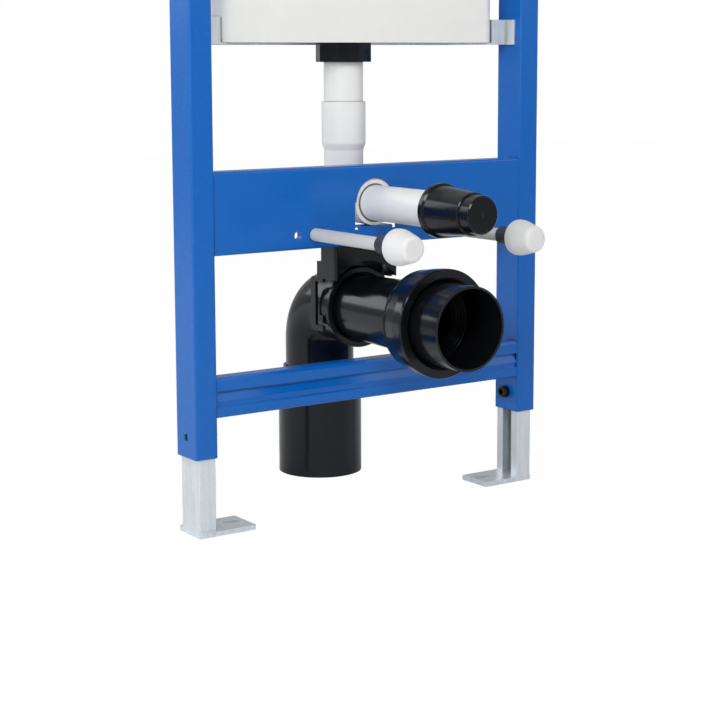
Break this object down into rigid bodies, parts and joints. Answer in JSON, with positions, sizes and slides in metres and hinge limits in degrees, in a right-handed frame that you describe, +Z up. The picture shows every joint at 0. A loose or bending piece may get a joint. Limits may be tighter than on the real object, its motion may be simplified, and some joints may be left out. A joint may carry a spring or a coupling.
{
  "type": "wall hung toilet frame",
  "caption": "Steel carrier frame with adjustable feet, concealed cistern, flush and waste pipes and threaded rods for a wall hung toilet pan.",
  "frame": {"origin": "centre of the left wall bracket's back face, on the wall", "axes": "+X to the right along the frame's width as the room sees it, +Y into the wall, +Z up"},
  "size_m": [0.545, 0.408, 1.15],
  "materials": {
    "blue_coat": "semi-gloss powder coat",
    "galvanised": "hot-dip galvanised",
    "zinc_steel": "zinc plated",
    "black_steel": "black oxide",
    "grey_plastic": "matt",
    "dark_grey_plastic": "matt",
    "white_cap": "gloss",
    "black_plastic": "gloss",
    "white_plastic": "gloss",
    "seal_rubber": "matt",
    "brass_fitting": "turned"
  },
  "bodies": {
    "frame": {"upright_left": "blue_coat", "upright_right": "blue_coat", "top_rail": "blue_coat", "cross_plate": "blue_coat", "lower_rail": "blue_coat", "wall_bracket_left": "galvanised", "wall_bracket_right": "galvanised", "cistern_cradle": "galvanised", "stud_nut_left": "zinc_steel", "stud_nut_right": "zinc_steel", "wall_nut_left": "zinc_steel", "wall_nut_right": "zinc_steel", "clamp_nut_left": "zinc_steel", "clamp_nut_right": "zinc_steel", "stud_left": "zinc_steel", "stud_right": "zinc_steel", "clamp_screw_left": "black_steel", "clamp_screw_right": "black_steel", "stud_sleeve_left": "grey_plastic", "stud_sleeve_right": "grey_plastic", "stud_collar_left": "dark_grey_plastic", "stud_collar_right": "dark_grey_plastic", "stud_cap_left": "white_cap", "stud_cap_right": "white_cap", "waste_bracket": "black_plastic", "waste_clip": "black_plastic", "waste_bend": "black_plastic", "waste_outlet": "black_plastic", "waste_socket": "black_plastic", "pan_connector": "black_plastic", "flush_plug": "black_plastic", "outlet_nut": "black_plastic", "socket_seal": "seal_rubber", "flush_bend": "white_plastic", "flush_bush": "white_plastic", "flush_downpipe": "white_plastic", "flush_pipe": "white_plastic", "cistern_tank": "white_plastic", "access_box": "white_plastic", "access_cover": "white_plastic", "inlet_connector": "brass_fitting"},
    "foot_left": {"foot_channel_left": "galvanised", "foot_plate_left": "galvanised"},
    "foot_right": {"foot_channel_right": "galvanised", "foot_plate_right": "galvanised"}
  },
  "joints": [
    {"name": "foot_left_slide", "type": "slide", "parent": "frame", "child": "foot_left", "axis": [0, 0, 1], "range_m": [-0.109, 0.085]},
    {"name": "foot_right_slide", "type": "slide", "parent": "frame", "child": "foot_right", "axis": [0, 0, 1], "range_m": [-0.109, 0.085]}
  ]
}
